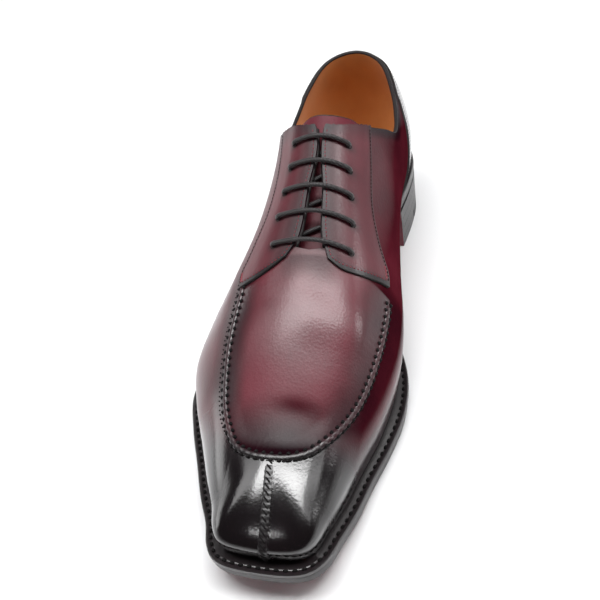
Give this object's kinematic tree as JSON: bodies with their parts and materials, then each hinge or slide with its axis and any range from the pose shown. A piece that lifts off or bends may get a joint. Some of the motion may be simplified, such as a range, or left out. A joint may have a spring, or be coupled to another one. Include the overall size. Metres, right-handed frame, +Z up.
{
  "type": "split toe derby",
  "caption": "Right split toe derby shoe with raised apron and toe seams, lapped facings, round lace, welted leather sole and stacked heel",
  "frame": {"origin": "centre of the heel's tread on the floor", "axes": "+Z up, -Y towards the toe, +X towards the inner side of the foot"},
  "size_m": [0.1125, 0.3036, 0.1128],
  "materials": {
    "upper_leather": "polished burgundy calf with a dark patina",
    "black_leather": "black dressed leather",
    "sole_leather": "burgundy dyed sole leather",
    "lining_leather": "natural tan lining leather",
    "heel_rubber": "matt black rubber",
    "lace": "round waxed cotton"
  },
  "bodies": {
    "root": {"heel_rubber": "heel_rubber", "heel_toplift": "sole_leather", "heel_lift_1": "black_leather", "heel_lift_2": "black_leather", "heel_lift_3": "black_leather", "outsole": "sole_leather", "welt": "black_leather", "insole": "lining_leather", "upper": "upper_leather", "counter": "black_leather", "eyestay_outer": "upper_leather", "eyestay_inner": "upper_leather", "tongue": "upper_leather", "lace": "lace"}
  },
  "joints": []
}
